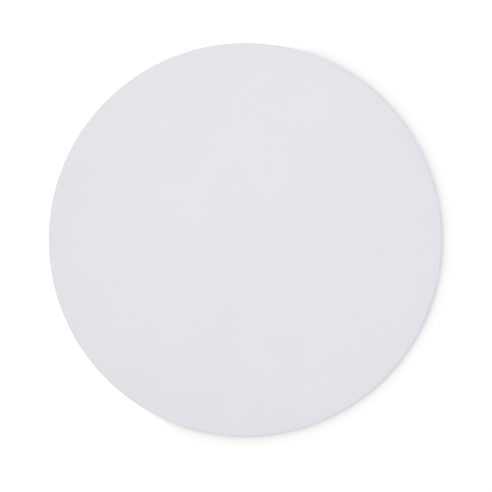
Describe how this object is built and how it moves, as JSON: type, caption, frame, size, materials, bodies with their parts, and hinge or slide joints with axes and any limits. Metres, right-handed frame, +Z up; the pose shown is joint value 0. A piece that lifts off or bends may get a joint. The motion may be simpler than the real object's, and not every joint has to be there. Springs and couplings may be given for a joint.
{
  "type": "mouse pad",
  "caption": "Plain round mouse pad: a thin pale cloth facing on soft foam rubber with a ribbed anti-slip underside, for a computer mouse to glide on.",
  "frame": {"origin": "middle of the underside, on the face of the middle grip rib, which rests on the desk", "axes": "+Z up through the middle of the disc, out of the cloth; +Y away from the user, along the grip ribs; +X to the user's right"},
  "size_m": [0.21, 0.21, 0.003],
  "materials": {
    "surface_cloth": "matte",
    "bonding_film": "satin",
    "foam_rubber": "matte",
    "grip_rubber": "matte"
  },
  "bodies": {
    "root": {"surface_cloth": "surface_cloth", "cloth_bonding_film": "bonding_film", "foam_core": "foam_rubber", "grip_bonding_film": "bonding_film", "grip_sheet": "grip_rubber"}
  },
  "joints": []
}
